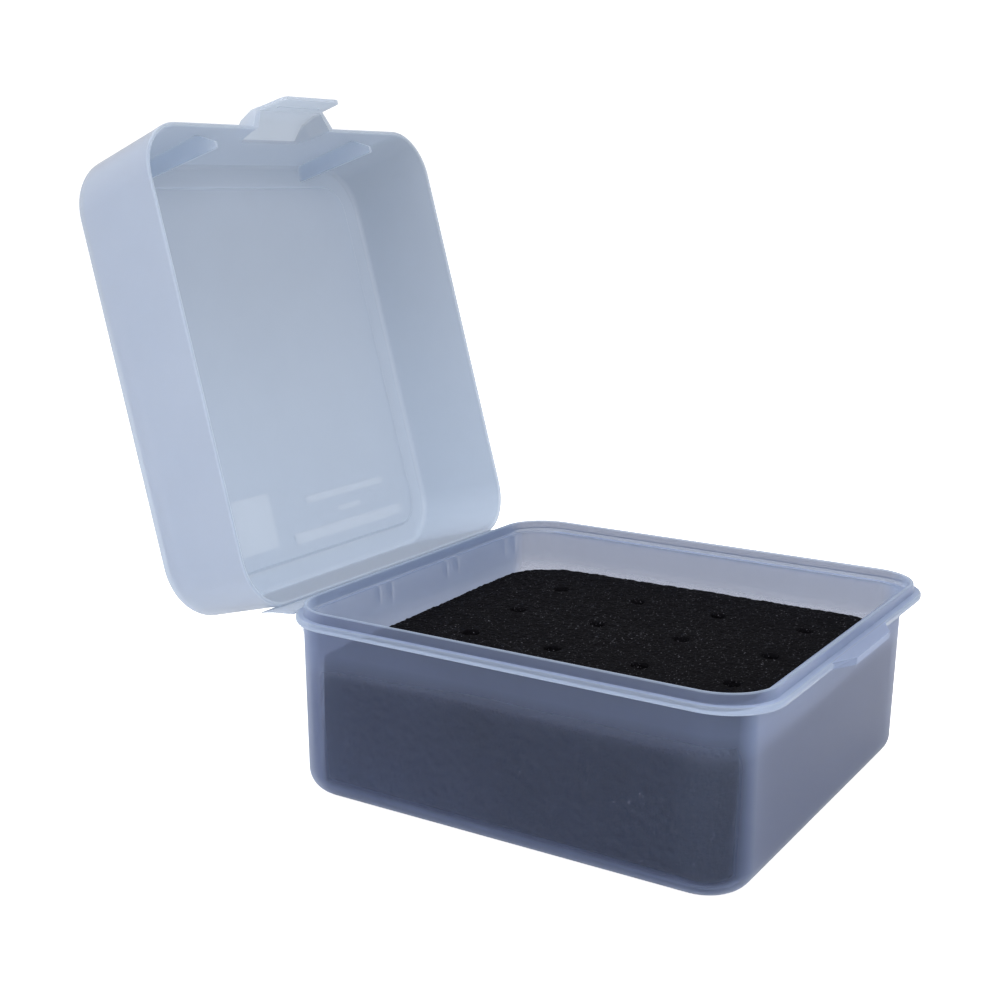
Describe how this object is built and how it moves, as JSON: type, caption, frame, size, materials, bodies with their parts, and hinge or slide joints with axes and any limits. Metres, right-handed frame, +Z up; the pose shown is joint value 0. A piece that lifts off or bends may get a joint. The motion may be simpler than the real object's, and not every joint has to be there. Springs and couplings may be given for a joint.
{
  "type": "miniature carry case",
  "caption": "Clear plastic carry case for tabletop miniatures, with a hinged latching lid and a black foam base block",
  "frame": {"origin": "under the middle of the rims, on the flat underside that the tub stands on", "axes": "+Z up, -Y towards the latch side, +X along the hinge line"},
  "size_m": [0.1498, 0.2384, 0.2078],
  "materials": {
    "frosted_plastic": "translucent milky polypropylene, smooth moulded",
    "black_foam": "matt open-cell foam"
  },
  "bodies": {
    "tub": {"tub": "frosted_plastic"},
    "lid": {"lid": "frosted_plastic"},
    "foam": {"foam": "black_foam"}
  },
  "joints": [
    {"name": "lid_hinge", "type": "hinge", "parent": "tub", "child": "lid", "pos_m": [0, 0.0787, 0.0515], "axis": [1, 0, 0], "range_deg": [0, 106.3]},
    {"name": "foam_lift", "type": "slide", "parent": "tub", "child": "foam", "axis": [0, 0, 1], "range_m": [0, 0.012]}
  ]
}
